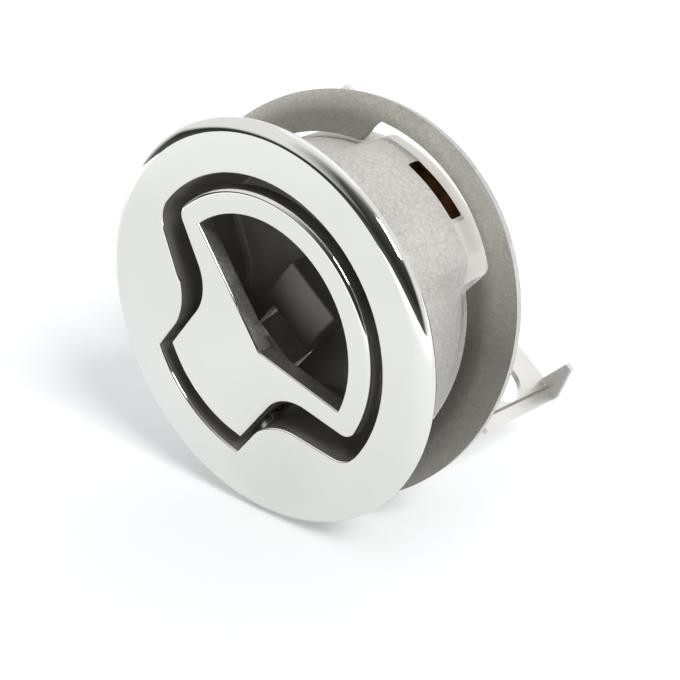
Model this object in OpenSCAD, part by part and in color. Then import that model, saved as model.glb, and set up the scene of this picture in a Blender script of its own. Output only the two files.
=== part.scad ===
// Round flush deck latch: a cast cup with a polished bezel, a pull handle that lies
// flush in a shaped pocket, a loose mounting plate on the barrel and a sprung sheet
// pawl behind it. Millimetres. The latch axis is Y, the face looks along -Y, and the
// origin is the centre of the panel seat, on the back of the bezel.
// Each module is drawn upright, with the handle's tab at -Z and its hinge pins along X.

/* [Bezel] */
// Diameter of the bezel over its rim
bezel_d = 63.5; // [62:0.5:66]
// Thickness of the bezel, from the face to the panel seat
bezel_t = 3; // [2.6:0.1:4]
// Radius of the rounded rim at the face
rim_round = 1.7; // [0.6:0.1:2]

/* [Barrel] */
// Diameter of the barrel at the panel seat
barrel_d = 50.2; // [49.6:0.1:51]
// Diameter of the barrel at its open rear end
barrel_rear_d = 50; // [49.4:0.1:50.4]
// Length of the barrel behind the panel seat
barrel_len = 24; // [23.5:0.5:27]
// Wall of the barrel round the rear cavity
barrel_wall = 3.5; // [3:0.1:4]
// Depth of the pocket's floor behind the panel seat
floor_depth = 11; // [10.5:0.1:11.5]
// Thickness of the pocket's floor
floor_t = 2.4; // [2:0.1:2.8]

/* [Lug on the barrel] */
// Width at its foot of the lug that keys the barrel to the panel and the plate
lug_w = 26; // [24:0.2:28]
// Width of the lug across its two top edges
lug_top_w = 23.4; // [20:0.2:24]
// Radius of the lug's top about the latch axis
lug_top = 26.9; // [26:0.1:27.4]
// Distance of the front end of the lug's ramp behind the panel seat
lug_front = 5; // [4:0.5:7]
// Length of the ramp at the lug's front end
lug_ramp = 9; // [6:0.5:10]
// Width of the slot through the lug
slot_w = 10.5; // [8:0.5:12]
// Width of the slot along the barrel
slot_h = 2.6; // [2:0.1:3]
// Distance of the slot's middle behind the panel seat
slot_y = 18.2; // [17.4:0.1:18.4]

/* [Pocket] */
// Radius of the pocket's wide round end at the face
pocket_r = 24; // [23.6:0.1:24.4]
// Radius of the pocket's narrow end at the face
pocket_tab_r = 22.8; // [22.7:0.1:23]
// Half width of the pocket's narrow end
pocket_tab_w = 10.8; // [10.5:0.1:11.2]
// Radius of the pocket's necks
pocket_neck_r = 8; // [6:0.5:9]
// Draft of the pocket, as inset at the floor
pocket_draft = 1.6; // [1:0.1:2]

/* [Handle] */
// Radius of the handle's wide round end
handle_r = 21.8; // [21:0.1:22.2]
// Radius of the handle's tab end
handle_tab_r = 20; // [19.5:0.1:20.2]
// Half width of the handle's tab
handle_tab_w = 9.6; // [9.3:0.1:9.7]
// Radius of the handle's necks
handle_neck_r = 5; // [4:0.5:6]
// Thickness of the handle's plate
handle_t = 3; // [2.6:0.1:3.2]
// Rounding of the handle's front edge
handle_round = 0.8; // [0.4:0.1:1.2]
// Radius of the finger hole's round edge
hole_r = 18; // [17:0.1:19]
// Distance of the finger hole's blunt point below the latch axis
hole_point = 1.9; // [0:0.1:3]
// Distance of the blunt point to the right of the middle line
hole_offset = 2.6; // [0:0.1:4]

/* [Pins and springs] */
// Diameter of both hinge pins
pin_d = 4; // [3.6:0.1:4.2]
// Radial running clearance of a moving bore on its pin
pin_play = 0.05; // [0.03:0.01:0.08]
// Wire diameter of both torsion springs
wire_d = 0.7; // [0.5:0.05:0.8]

/* [Mounting plate] */
// Thickness of the plate's sheet
plate_t = 1.4; // [1:0.1:1.6]
// Depth of the band pressed into the plate
plate_step = 0.5; // [0.3:0.1:1]
// Tilt of the loose plate as it hangs on the barrel
plate_tilt = 15; // [0:1:15]
// Width of the plate's sheet outside the notch for the lug
notch_edge = 3.5; // [3:0.1:5]

/* [Pawl] */
// Thickness of the pawl's sheet
pawl_t = 1; // [0.8:0.1:1.2]
// Half width of the pawl at its front edge
pawl_w_front = 31.8; // [28:0.1:33]
// Half width of the pawl at its rear edge
pawl_w_rear = 33.8; // [30:0.1:35]
// Length of the pawl's plate from front to rear
pawl_len = 19.7; // [16:0.1:24]
// Diameter of the round holes in the pawl
pawl_hole_d = 8.4; // [6:0.2:9]
// Height of the pawl's hook teeth
tooth_h = 6.7; // [5:0.1:8]

/* [Pose] */
// Roll of the latch about its axis, as it lies on a table on its rim
lie_angle = 40; // [0:5:90]

/* [Hidden] */
$fn = 96;
// Overlap of a cut past the face that it opens
cut = 0.5;
// Clearance between pieces that move past each other
gap = 0.4;
face_y = -bezel_t;
bezel_r = bezel_d / 2;
seat_chamfer = 1;
barrel_r = barrel_d / 2;
barrel_rear_r = barrel_rear_d / 2;
cavity_r = barrel_rear_r - barrel_wall;
floor_back = floor_depth + floor_t;
pin_r = pin_d / 2;
bore_r = pin_r + pin_play;

// Arms of the pocket and the handle: a point on the lower edge, and its slope
pocket_arm = [22.3, -2.4];
pocket_slope = 31;
pocket_corner_r = 2.6;
handle_arm = [20.3, 1.5];
handle_slope = 25.4;
handle_corner_r = 1.2;

// Handle hinge: behind the tab, close enough to its end to swing inside the pocket
handle_pin_y = 2.6;
handle_pin_z = -15.5;
knuckle_r = pin_r + 1.6;
knuckle_w = handle_tab_w - gap;
coil_r = pin_r + wire_d / 2 + 0.25;
coil_gap_r = coil_r + wire_d / 2 + gap;
// Both coils: full turns, pitch, the place of the first turn and the length along the pin
coil_turns = 3;
coil_pitch = wire_d + 0.08;
coil_x = 3.4;
coil_len = coil_turns * coil_pitch + wire_d;
// Release leg behind the knuckles
leg_w = 4.8;
leg_top = handle_pin_z + 2.3;
leg_bottom = handle_pin_z - 1.5;
leg_tip = floor_back - gap;
// Slopes of the left and right edges that meet at the finger hole's blunt point
hole_slopes = [17, 23.4];

// Boss in the pocket that takes the bracket's screws
boss_w = 11;
boss_z = [-2.2, 6.7];
boss_y = 5.4;
boss_mid = (boss_z[0] + boss_z[1]) / 2;
screw_x = 3;
screw_r = 1.5;
screw_play = 0.05;
screw_len = 8.4;
screw_head_r = 2.7;
screw_head_t = 1.9;
screw_socket_r = 1.25;
washer_r = 2.8;
washer_t = 0.6;

// Pawl hinge, carried by the bracket behind the floor
pawl_front = barrel_len + gap;
pawl_rear = pawl_front + pawl_len;
bracket_t = 1.2;
pawl_pin_y = pawl_front + 2.6;
pawl_pin_z = -4.3;
ear_x = 7.4;
ear_r = pin_r + 1.3;
spacer_t = 0.8;
side_play = 0.1;
cheek_x = ear_x + pawl_t + spacer_t + 2 * side_play;
clip_t = 0.7;
clip_x = cheek_x + bracket_t + side_play;
groove_r = pin_r - 0.4;
pawl_pin_end = clip_x + clip_t + 0.9;
// Angle at which the pawl's spring starts, and the hole in the bracket for its other leg
spring_from = 110;
spring_turns = coil_turns + (90 - spring_from) / 360;
spring_hole = [coil_x + wire_d / 2 + coil_pitch * spring_turns, pawl_pin_z + coil_r];
arm_w = 8.6;
arm_tip = [leg_tip - 2.5, leg_top + gap + pawl_t / 2];
slit_w = arm_w + 1.4;
slit_z = [-20, -3.2];
tooth_base = 4.1;
tooth_lean = 2.2;
tooth_tip = 1.2;
score_in = 2.6;
score_w = 0.5;
score_d = 0.25;
pawl_hole = [26, pawl_front + 10.2];

// End of the lug, short of the barrel's rear end
lug_rear = barrel_len - 2;
// Plate: where it crosses the latch axis, the turn of its leaning direction from the handle's
// middle line, and the place of its outer edge, which is not concentric with its hole
plate_r = bezel_r;
plate_mid = 0.44 * barrel_len;
plate_turn = 12.5;
plate_offset = [0.9, 2.8];
// Notch in the plate: play left of, right of and over the lug, then its half width, middle and radius
notch_play = [0.6, 1.4, 0.7];
notch_w = (lug_w + notch_play[0] + notch_play[1]) / 2;
notch_x = (notch_play[1] - notch_play[0]) / 2;
notch_r = max(plate_r - notch_edge, (lug_top + notch_play[2]) / cos(plate_tilt) - plate_offset[1]);
notch_corner_r = 1.6;
// Hole in the plate, which still passes the barrel while the plate leans
plate_hole_r = (max(barrel_r, barrel_rear_r) + gap) / cos(plate_tilt) + plate_t / 2 * tan(plate_tilt);

// Points of an arc about c with radius r, from angle a to angle b, without the first skip points
function arc(c, r, a, b, n, skip = 0) =
  [for (i = [skip:n]) let (t = a + (b - a) * i / n) c + r * [cos(t), sin(t)]];

// Right half of a shield outline: tab end, neck fillet, arm, rounded corner, round end.
// in is an even inset of the whole outline.
function shield_half(fan_r, tab_r, tab_w, neck_r, arm, slope, corner_r, in) =
  let (
    rf = fan_r - in,
    rt = tab_r - in,
    w = tab_w - in,
    rn = neck_r + in,
    rc = max(corner_r - in, 0.2),
    lift = arm[1] + in / cos(slope) - arm[0] * tan(slope),
    neck = [w + rn, lift + (w + rn) * tan(slope) - rn / cos(slope)],
    m = tan(slope),
    k = lift + rc / cos(slope),
    cx = (-m * k + sqrt(m * m * k * k - (1 + m * m) * (k * k - (rf - rc) * (rf - rc)))) / (1 + m * m),
    corner = [cx, k + m * cx],
    out = atan2(corner[1], corner[0])
  )
  concat(
    arc([0, 0], rt, -90, -acos(w / rt), 8),
    arc(neck, rn, 180, 90 + slope, 10),
    arc(corner, rc, slope - 90, out, 6),
    arc([0, 0], rf, out, 90, 30, 1)
  );

// The whole outline, without its two points on the middle line twice
function mirrored(half) =
  let (n = len(half))
  concat(half, [for (i = [n - 2:-1:1]) [-half[i][0], half[i][1]]]);

function pocket_outline(in) = mirrored(shield_half(
  pocket_r, pocket_tab_r, pocket_tab_w, pocket_neck_r, pocket_arm, pocket_slope, pocket_corner_r, in));

function handle_outline(in) = mirrored(shield_half(
  handle_r, handle_tab_r, handle_tab_w, handle_neck_r, handle_arm, handle_slope, handle_corner_r, in));

// Loft through mirrored outlines of equal length, each [y, points], from front to rear.
// Each cap is a stack of strips from a point on the right to its mirror on the left.
module loft(rings) {
  n = len(rings[0][1]);
  last = len(rings) - 1;
  points = [for (ring = rings) for (p = ring[1]) [p[0], ring[0], p[1]]];
  strips = concat(
    [[n - 1, 1, 0]],
    [for (j = [1:n / 2 - 2]) [n - j, n - j - 1, j + 1, j]],
    [[n / 2 + 1, n / 2, n / 2 - 1]]
  );
  rear = [for (s = strips) [for (i = [len(s) - 1:-1:0]) last * n + s[i]]];
  sides = [
    for (k = [0:last - 1]) for (i = [0:n - 1])
      [k * n + (i + 1) % n, (k + 1) * n + (i + 1) % n, (k + 1) * n + i, k * n + i]
  ];
  polyhedron(points, concat(strips, rear, sides), convexity = 6);
}

// Extrusion of an outline drawn in X and Z, from y0 to y1
module slab(y0, y1) {
  translate([0, y1, 0])
    rotate([90, 0, 0])
      linear_extrude(y1 - y0) children();
}

// Solid of revolution about Y, from a profile drawn as radius and y
module spun() {
  rotate([-90, 0, 0]) rotate_extrude() children();
}

// Cylinder along X between x0 and x1
module rod(r, x0, x1, y, z) {
  translate([x0, y, z]) rotate([0, 90, 0]) cylinder(r = r, h = x1 - x0);
}

module box(x, y, z) {
  translate([x[0], y[0], z[0]]) cube([x[1] - x[0], y[1] - y[0], z[1] - z[0]]);
}

// Turns the upright latch to the roll in which it lies
module placed() {
  rotate([0, lie_angle, 0]) children();
}

function ring_at(p, along, r, sides) =
  let (
    t = along / norm(along),
    side = cross(t, [1, 0, 0]),
    u = side / norm(side),
    v = cross(u, t)
  )
  [for (i = [0:sides - 1]) let (a = 360 * i / sides) p + r * (cos(a) * u + sin(a) * v)];

// Round wire along a path whose direction never runs along X
module wire(path, d) {
  sides = 8;
  n = len(path);
  rings = [
    for (i = [0:n - 1])
      ring_at(path[i], path[min(i + 1, n - 1)] - path[max(i - 1, 0)], d / 2, sides)
  ];
  faces = [
    for (i = [0:n - 2]) for (k = [0:sides - 1])
      [i * sides + k, i * sides + (k + 1) % sides, (i + 1) * sides + (k + 1) % sides, (i + 1) * sides + k]
  ];
  first = [for (k = [sides - 1:-1:0]) k];
  end = [for (k = [0:sides - 1]) (n - 1) * sides + k];
  polyhedron([for (r = rings) for (p = r) p], concat([first], faces, [end]), convexity = 8);
}

// Path of a torsion spring round [y, z]: a straight leg, the coil along X, a straight leg.
// from and to are the angles in the YZ plane at which the coil starts and ends.
function torsion_path(y, z, from, to, leg_a, leg_b) =
  let (
    sweep = 360 * coil_turns + to - from,
    steps = ceil(sweep / 20),
    coil = [
      for (i = [0:steps])
        let (a = from + sweep * i / steps)
        [coil_x + wire_d / 2 + coil_pitch * (a - from) / 360, y + coil_r * cos(a), z + coil_r * sin(a)]
    ],
    back = [0, sin(from), -cos(from)],
    ahead = [0, -sin(to), cos(to)]
  )
  concat([coil[0] + leg_a * back], coil, [coil[steps] + leg_b * ahead]);

// Body of revolution of the cup: bezel with a rounded rim, and the tapered barrel
module cup_blank() {
  spun() {
    polygon([
      [0, face_y], [bezel_r - rim_round, face_y], [bezel_r, face_y + rim_round],
      [bezel_r, -seat_chamfer], [bezel_r - seat_chamfer, 0], [barrel_r, 0],
      [barrel_rear_r, barrel_len], [0, barrel_len]
    ]);
    intersection() {
      translate([bezel_r - rim_round, face_y + rim_round]) circle(rim_round);
      translate([bezel_r - rim_round, face_y]) square(rim_round);
    }
  }
}

// Lug on the barrel: flared sides, a long ramp, and a top concentric with the barrel
module lug() {
  foot = [lug_w / 2, sqrt(barrel_rear_r * barrel_rear_r - lug_w * lug_w / 4)];
  edge = [lug_top_w / 2, sqrt(lug_top * lug_top - lug_top_w * lug_top_w / 4)];
  flare = (edge - foot) / norm(edge - foot);
  low = foot - barrel_wall * flare;
  high = edge + barrel_wall * flare;
  intersection() {
    slab(lug_front, lug_rear)
      polygon([[-low[0], low[1]], low, high, [-high[0], high[1]]]);
    spun() polygon([
      [0, lug_front], [barrel_r - barrel_wall / 4, lug_front], [lug_top, lug_front + lug_ramp],
      [lug_top, lug_rear + cut], [0, lug_rear + cut]
    ]);
  }
}

// Space of the pocket, round the boss that stands in it
module pocket() {
  difference() {
    loft([
      [face_y - cut, pocket_outline(0)],
      [face_y + bezel_t / 2, pocket_outline(0)],
      [floor_depth, pocket_outline(pocket_draft)]
    ]);
    box([-boss_w / 2, boss_w / 2], [boss_y, floor_depth + floor_t / 2], boss_z);
  }
}

// Cast cup: bezel, barrel, pocket and boss in one piece
module cup() color("silver") {
  difference() {
    union() {
      cup_blank();
      lug();
    }
    pocket();
    spun() translate([0, floor_back]) square([cavity_r, barrel_len]);
    rod(pin_r, -barrel_r, barrel_r, handle_pin_y, handle_pin_z);
    box([-slit_w / 2, slit_w / 2], [floor_depth - cut, floor_back + cut], slit_z);
    box([-slot_w / 2, slot_w / 2], [slot_y - slot_h / 2, slot_y + slot_h / 2], [cavity_r / 2, lug_top + cut]);
    for (x = [-screw_x, screw_x])
      translate([x, floor_back + bracket_t + washer_t, boss_mid])
        rotate([90, 0, 0]) cylinder(r = screw_r + screw_play, h = screw_len + gap);
  }
}

// Finger hole: a round edge above, and two edges below that meet at a blunt point
module hole_shape() {
  reach = 2 * hole_r;
  left = (reach + hole_offset) * tan(hole_slopes[0]) - hole_point;
  right = (reach - hole_offset) * tan(hole_slopes[1]) - hole_point;
  intersection() {
    circle(hole_r);
    polygon([[hole_offset, -hole_point], [reach, right], [reach, reach], [-reach, reach], [-reach, left]]);
  }
}

// Pull handle: a plate with a rounded front edge, two knuckles and a release leg
module handle() color("gainsboro") {
  back = face_y + handle_t;
  difference() {
    union() {
      loft(concat(
        [
          for (a = [90:-30:0])
            [face_y + handle_round * (1 - sin(a)), handle_outline(handle_round * (1 - cos(a)))]
        ],
        [[back, handle_outline(0)]]
      ));
      rod(knuckle_r, -knuckle_w, coil_x - gap, handle_pin_y, handle_pin_z);
      rod(knuckle_r, coil_x + coil_len + gap, knuckle_w, handle_pin_y, handle_pin_z);
      box([-leg_w / 2, leg_w / 2], [handle_pin_y, leg_tip], [leg_bottom, leg_top]);
    }
    slab(face_y - cut, back + cut) hole_shape();
    rod(bore_r, -barrel_r, barrel_r, handle_pin_y, handle_pin_z);
    rod(coil_gap_r, coil_x - gap, coil_x + coil_len + gap, handle_pin_y, handle_pin_z);
  }
}

// Hinge pin of the handle, driven through the barrel's wall and ending inside it
module handle_pin() color("dimgray") {
  low = pin_r - handle_pin_z;
  reach = sqrt(barrel_rear_r * barrel_rear_r - low * low) - gap;
  rod(pin_r, -reach, reach, handle_pin_y, handle_pin_z);
}

// Torsion spring that lays the handle flush: one leg behind the tab, one on the pocket's floor
module handle_spring() color("darkgray") {
  tab_leg = 3.2;
  floor_leg = floor_depth - handle_pin_y - wire_d;
  wire(torsion_path(handle_pin_y, handle_pin_z, 290, 270, tab_leg, floor_leg), wire_d);
}

// Right half of the plate's notch for the lug: a side, a rounded corner and a concentric arc
function notch_half() =
  let (
    c = notch_w - notch_corner_r,
    corner = [c, sqrt((notch_r - notch_corner_r) * (notch_r - notch_corner_r) - c * c)],
    out = atan2(corner[1], corner[0])
  )
  concat(
    [[0, 0], [notch_w, 0]],
    arc(corner, notch_corner_r, 0, out, 6),
    arc([0, 0], notch_r, out, 90, 12, 1)
  );

// Stamped plate that slides on the barrel and clamps the panel, pressed back inside its rim
module mounting_plate() color("gray") {
  front = -plate_t / 2;
  back = plate_t / 2;
  // Share of the plate's radius at which the pressed slope starts and ends
  band = [0.81, 0.866] * plate_r;
  translate([0, plate_mid, 0])
    rotate([0, -plate_turn, 0])
      rotate([-plate_tilt, 0, 0])
        rotate([0, plate_turn, 0])
          difference() {
            translate([plate_offset[0], 0, plate_offset[1]])
              spun() polygon([
                [0, front + plate_step], [band[0], front + plate_step], [band[1], front], [plate_r, front],
                [plate_r, back], [band[1], back], [band[0], back + plate_step], [0, back + plate_step]
              ]);
            slab(front - cut, back + plate_step + cut) circle(plate_hole_r);
            translate([notch_x, 0, plate_offset[1]])
              slab(front - cut, back + plate_step + cut) polygon(mirrored(notch_half()));
          }
}

// Folded bracket on the back of the floor, whose cheeks carry the pawl's pin
module pawl_bracket() color("lightgray") {
  base_z = [pawl_pin_z - ear_r, 9];
  difference() {
    union() {
      box([-cheek_x - bracket_t, cheek_x + bracket_t], [floor_back, floor_back + bracket_t], base_z);
      for (x = [-cheek_x - bracket_t, cheek_x]) {
        box([x, x + bracket_t], [floor_back, pawl_pin_y], [pawl_pin_z - ear_r, pawl_pin_z + ear_r]);
        rod(ear_r, x, x + bracket_t, pawl_pin_y, pawl_pin_z);
      }
    }
    rod(pin_r, -barrel_r, barrel_r, pawl_pin_y, pawl_pin_z);
    box([-slit_w / 2, slit_w / 2], [floor_back - cut, floor_back + bracket_t + cut], slit_z);
    for (x = [-screw_x, screw_x])
      translate([x, floor_back + bracket_t + cut, boss_mid])
        rotate([90, 0, 0]) cylinder(r = screw_r + 4 * screw_play, h = bracket_t + 2 * cut);
    translate([spring_hole[0], floor_back + bracket_t + cut, spring_hole[1]])
      rotate([90, 0, 0]) cylinder(r = wire_d / 2 + 3 * screw_play, h = bracket_t + 2 * cut);
  }
}

// Pan-head screw with a hexagon socket, through the bracket into the boss
module bracket_screw(x) {
  seat = floor_back + bracket_t + washer_t;
  translate([x, seat, boss_mid])
    rotate([-90, 0, 0])
      difference() {
        union() {
          cylinder(r = screw_head_r, h = screw_head_t);
          translate([0, 0, -screw_len]) cylinder(r = screw_r, h = screw_len);
        }
        translate([0, 0, screw_head_t / 2]) cylinder(r = screw_socket_r, h = screw_head_t, $fn = 6);
      }
}

module bracket_screw_left() color("silver") bracket_screw(-screw_x);

module bracket_screw_right() color("silver") bracket_screw(screw_x);

// Split lock washer under a screw head
module lock_washer(x) {
  translate([x, floor_back + bracket_t, boss_mid])
    rotate([-90, 0, 0])
      difference() {
        cylinder(r = washer_r, h = washer_t);
        translate([0, 0, -cut]) cylinder(r = screw_r + 2 * screw_play, h = washer_t + 2 * cut);
        translate([0, -washer_t / 4, -cut]) cube([washer_r * 2, washer_t / 2, washer_t + 2 * cut]);
      }
}

module lock_washer_left() color("gray") lock_washer(-screw_x);

module lock_washer_right() color("gray") lock_washer(screw_x);

// Hook tooth at a rear corner of the pawl, drawn on the right
module pawl_tooth() {
  w = pawl_w_rear;
  slab(pawl_rear - pawl_t, pawl_rear)
    polygon([
      [w, -pawl_t / 2], [w, pawl_t / 2], [w - tooth_lean, tooth_h],
      [w - tooth_lean - tooth_tip, tooth_h], [w - tooth_base, pawl_t / 2], [w - tooth_base, -pawl_t / 2]
    ]);
}

// Score line along a side edge of the pawl, drawn on the right
module pawl_score() {
  translate([0, 0, pawl_t / 2 - score_d])
    linear_extrude(score_d + cut)
      polygon([
        [pawl_w_front - score_in, pawl_front - cut], [pawl_w_front - score_in + score_w, pawl_front - cut],
        [pawl_w_rear - score_in + score_w, pawl_rear - pawl_t], [pawl_w_rear - score_in, pawl_rear - pawl_t]
      ]);
}

// Sheet pawl: a wide plate with hook teeth, two ears on the pin and a release arm
module pawl() color("lightgray") {
  difference() {
    union() {
      translate([0, 0, -pawl_t / 2])
        linear_extrude(pawl_t)
          polygon([
            [-pawl_w_front, pawl_front], [pawl_w_front, pawl_front],
            [pawl_w_rear, pawl_rear], [-pawl_w_rear, pawl_rear]
          ]);
      for (side = [0, 1]) mirror([side, 0, 0]) {
        pawl_tooth();
        rod(ear_r, ear_x, ear_x + pawl_t, pawl_pin_y, pawl_pin_z);
        box([ear_x, ear_x + pawl_t], [pawl_pin_y - ear_r, pawl_pin_y + ear_r], [pawl_pin_z, 0]);
      }
      pawl_arm();
    }
    for (side = [0, 1]) mirror([side, 0, 0]) {
      pawl_score();
      translate([pawl_hole[0], pawl_hole[1], -pawl_t])
        cylinder(d = pawl_hole_d, h = 2 * pawl_t);
    }
    rod(bore_r, -barrel_r, barrel_r, pawl_pin_y, pawl_pin_z);
  }
}

// Release arm of the pawl: from the plate's front edge down to the handle's leg
module pawl_arm() {
  root = [pawl_front, -pawl_t / 2];
  run = arm_tip - root;
  along = run / norm(run);
  side = [-along[1], along[0]] * pawl_t / 2;
  translate([arm_w / 2, 0, 0])
    rotate([0, -90, 0])
      linear_extrude(arm_w)
        polygon([for (p = [
          root + side + along * -pawl_t, root - side + along * -pawl_t, arm_tip - side, arm_tip + side
        ]) [p[1], p[0]]]);
}

// Pin of the pawl, with a groove for a clip at each end
module pawl_pin() color("dimgray") {
  translate([0, pawl_pin_y, pawl_pin_z])
    rotate([0, 90, 0])
      difference() {
        translate([0, 0, -pawl_pin_end]) cylinder(r = pin_r, h = 2 * pawl_pin_end);
        for (side = [0, 1]) mirror([0, 0, side])
          translate([0, 0, clip_x])
            difference() {
              cylinder(r = pin_r + cut, h = clip_t + side_play);
              translate([0, 0, -cut]) cylinder(r = groove_r, h = clip_t + side_play + 2 * cut);
            }
      }
}

// Torsion spring that holds the pawl up: one leg under its plate, one in a hole in the bracket
module pawl_spring() color("darkgray") {
  plate_leg = 2.6;
  bracket_leg = pawl_pin_y - floor_back - wire_d / 2;
  wire(torsion_path(pawl_pin_y, pawl_pin_z, spring_from, 90, plate_leg, bracket_leg), wire_d);
}

// Flat washer between an ear of the pawl and a cheek of the bracket
module pawl_washer(x) {
  translate([x, pawl_pin_y, pawl_pin_z])
    rotate([0, 90, 0])
      difference() {
        cylinder(r = ear_r - side_play, h = spacer_t);
        translate([0, 0, -cut]) cylinder(r = bore_r + side_play, h = spacer_t + 2 * cut);
      }
}

module pawl_washer_left() color("silver") pawl_washer(-ear_x - pawl_t - side_play - spacer_t);

module pawl_washer_right() color("silver") pawl_washer(ear_x + pawl_t + side_play);

// Spring clip in the groove at an end of the pawl's pin
module pawl_clip(x) {
  translate([x, pawl_pin_y, pawl_pin_z])
    rotate([0, 90, 0])
      difference() {
        cylinder(r = pin_r + 1.4, h = clip_t);
        translate([0, 0, -cut]) cylinder(r = groove_r + side_play / 2, h = clip_t + 2 * cut);
        translate([0, -groove_r * 0.8, -cut]) cube([pin_r * 2, groove_r * 1.6, clip_t + 2 * cut]);
      }
}

module pawl_clip_left() color("silver") pawl_clip(-clip_x - clip_t - side_play / 2);

module pawl_clip_right() color("silver") pawl_clip(clip_x + side_play / 2);

placed() cup();
placed() handle();
placed() handle_pin();
placed() handle_spring();
placed() mounting_plate();
placed() pawl_bracket();
placed() bracket_screw_left();
placed() bracket_screw_right();
placed() lock_washer_left();
placed() lock_washer_right();
placed() pawl();
placed() pawl_pin();
placed() pawl_spring();
placed() pawl_washer_left();
placed() pawl_washer_right();
placed() pawl_clip_left();
placed() pawl_clip_right();
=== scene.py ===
"""Round flush deck latch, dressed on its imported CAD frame: a polished bezel and pull handle,
a bead-blasted barrel, a loose mounting plate and a sprung sheet pawl."""

import math

import bmesh
import bpy
from mathutils import Matrix, Vector


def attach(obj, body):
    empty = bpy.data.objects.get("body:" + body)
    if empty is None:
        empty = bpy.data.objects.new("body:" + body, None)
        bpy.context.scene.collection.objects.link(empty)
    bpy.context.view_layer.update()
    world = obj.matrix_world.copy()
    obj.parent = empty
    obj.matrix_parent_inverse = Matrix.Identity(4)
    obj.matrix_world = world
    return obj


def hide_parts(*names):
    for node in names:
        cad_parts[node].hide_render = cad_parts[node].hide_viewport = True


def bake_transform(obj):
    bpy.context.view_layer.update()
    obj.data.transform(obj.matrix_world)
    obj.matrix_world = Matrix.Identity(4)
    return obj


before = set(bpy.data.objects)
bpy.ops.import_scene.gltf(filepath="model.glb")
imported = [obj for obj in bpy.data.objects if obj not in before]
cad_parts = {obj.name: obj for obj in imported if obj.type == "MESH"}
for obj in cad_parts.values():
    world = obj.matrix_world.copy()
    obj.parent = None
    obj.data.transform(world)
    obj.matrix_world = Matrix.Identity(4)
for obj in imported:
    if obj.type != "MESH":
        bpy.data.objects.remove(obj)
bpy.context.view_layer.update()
scene = bpy.context.scene


# Studio: the latch stands on its bezel's rim on a white table, seen from its upper right front.
# A soft key stands to the right, under a pale ceiling, and the room in front is dim.
camera_place = Vector((0.1127, -0.1194, 0.0754))
camera_look = Vector((-0.5753, 0.6970, -0.4294))
focal_px, frame_px = 1200.0, 680.0
table_z = -0.03175

camera_data = bpy.data.cameras.new("camera")
camera_data.sensor_width = 36.0
camera_data.lens = camera_data.sensor_width * focal_px / frame_px
camera_data.clip_start = 0.01
camera = bpy.data.objects.new("camera", camera_data)
camera.location = camera_place
camera.rotation_euler = camera_look.to_track_quat("-Z", "Y").to_euler()
scene.collection.objects.link(camera)
scene.camera = camera
scene.view_settings.view_transform = "Standard"


def math_node(tree, operation, a, b):
    """Output of a math node on two values, each a number or a socket."""
    node = tree.nodes.new("ShaderNodeMath")
    node.operation = operation
    for socket, value in zip(node.inputs, (a, b)):
        if isinstance(value, (int, float)):
            socket.default_value = value
        else:
            tree.links.new(value, socket)
    return node.outputs[0]


def ranged(tree, value, from_min, from_max, to_min=0.0, to_max=1.0):
    """Output of a value that is mapped from one range to another and stops at its ends."""
    node = tree.nodes.new("ShaderNodeMapRange")
    ends = {"From Min": from_min, "From Max": from_max, "To Min": to_min, "To Max": to_max}
    for label, end in ends.items():
        node.inputs[label].default_value = end
    tree.links.new(value, node.inputs["Value"])
    return node.outputs[0]


def colour_mix(tree, factor, a, b):
    """Output of a mix from a to b, each a colour or a socket."""
    node = tree.nodes.new("ShaderNodeMix")
    node.data_type = "RGBA"
    tree.links.new(factor, node.inputs["Factor"])
    for label, colour in (("A", a), ("B", b)):
        if isinstance(colour, tuple):
            node.inputs[label].default_value = colour
        else:
            tree.links.new(colour, node.inputs[label])
    return node.outputs["Result"]


def seen_directly(tree):
    """1 for a camera, mirror or see-through ray, 0 for light that falls on a surface."""
    path = tree.nodes.new("ShaderNodeLightPath").outputs
    direct = math_node(tree, "MAXIMUM", path["Is Camera Ray"], path["Is Glossy Ray"])
    return math_node(tree, "MAXIMUM", direct, path["Is Transmission Ray"])


table_mesh = bpy.data.meshes.new("table")
table_reach = 1.5
table_mesh.from_pydata(
    [(x * table_reach, y * table_reach, table_z) for x, y in ((-1, -1), (1, -1), (1, 1), (-1, 1))],
    [],
    [(0, 1, 2, 3)],
)
table = bpy.data.objects.new("table", table_mesh)
scene.collection.objects.link(table)
table_white = bpy.data.materials.new("table_white")
table_white.use_nodes = True
tree = table_white.node_tree
tree.nodes.clear()
matte = tree.nodes.new("ShaderNodeBsdfDiffuse")
matte.inputs["Color"].default_value = (0.80, 0.81, 0.82, 1)
away = tree.nodes.new("ShaderNodeVectorMath")
away.operation = "LENGTH"
tree.links.new(tree.nodes.new("ShaderNodeTexCoord").outputs["Object"], away.inputs[0])
near, far, near_lift, far_lift = 0.15, 0.60, 0.24, 1.0
lift_by_reach = ranged(tree, away.outputs["Value"], near, far, near_lift, far_lift)
lift = tree.nodes.new("ShaderNodeEmission")
tree.links.new(math_node(tree, "MULTIPLY", seen_directly(tree), lift_by_reach), lift.inputs["Strength"])
both = tree.nodes.new("ShaderNodeAddShader")
tree.links.new(matte.outputs[0], both.inputs[0])
tree.links.new(lift.outputs[0], both.inputs[1])
tree.links.new(both.outputs[0], tree.nodes.new("ShaderNodeOutputMaterial").inputs["Surface"])
table_mesh.materials.append(table_white)

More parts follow.
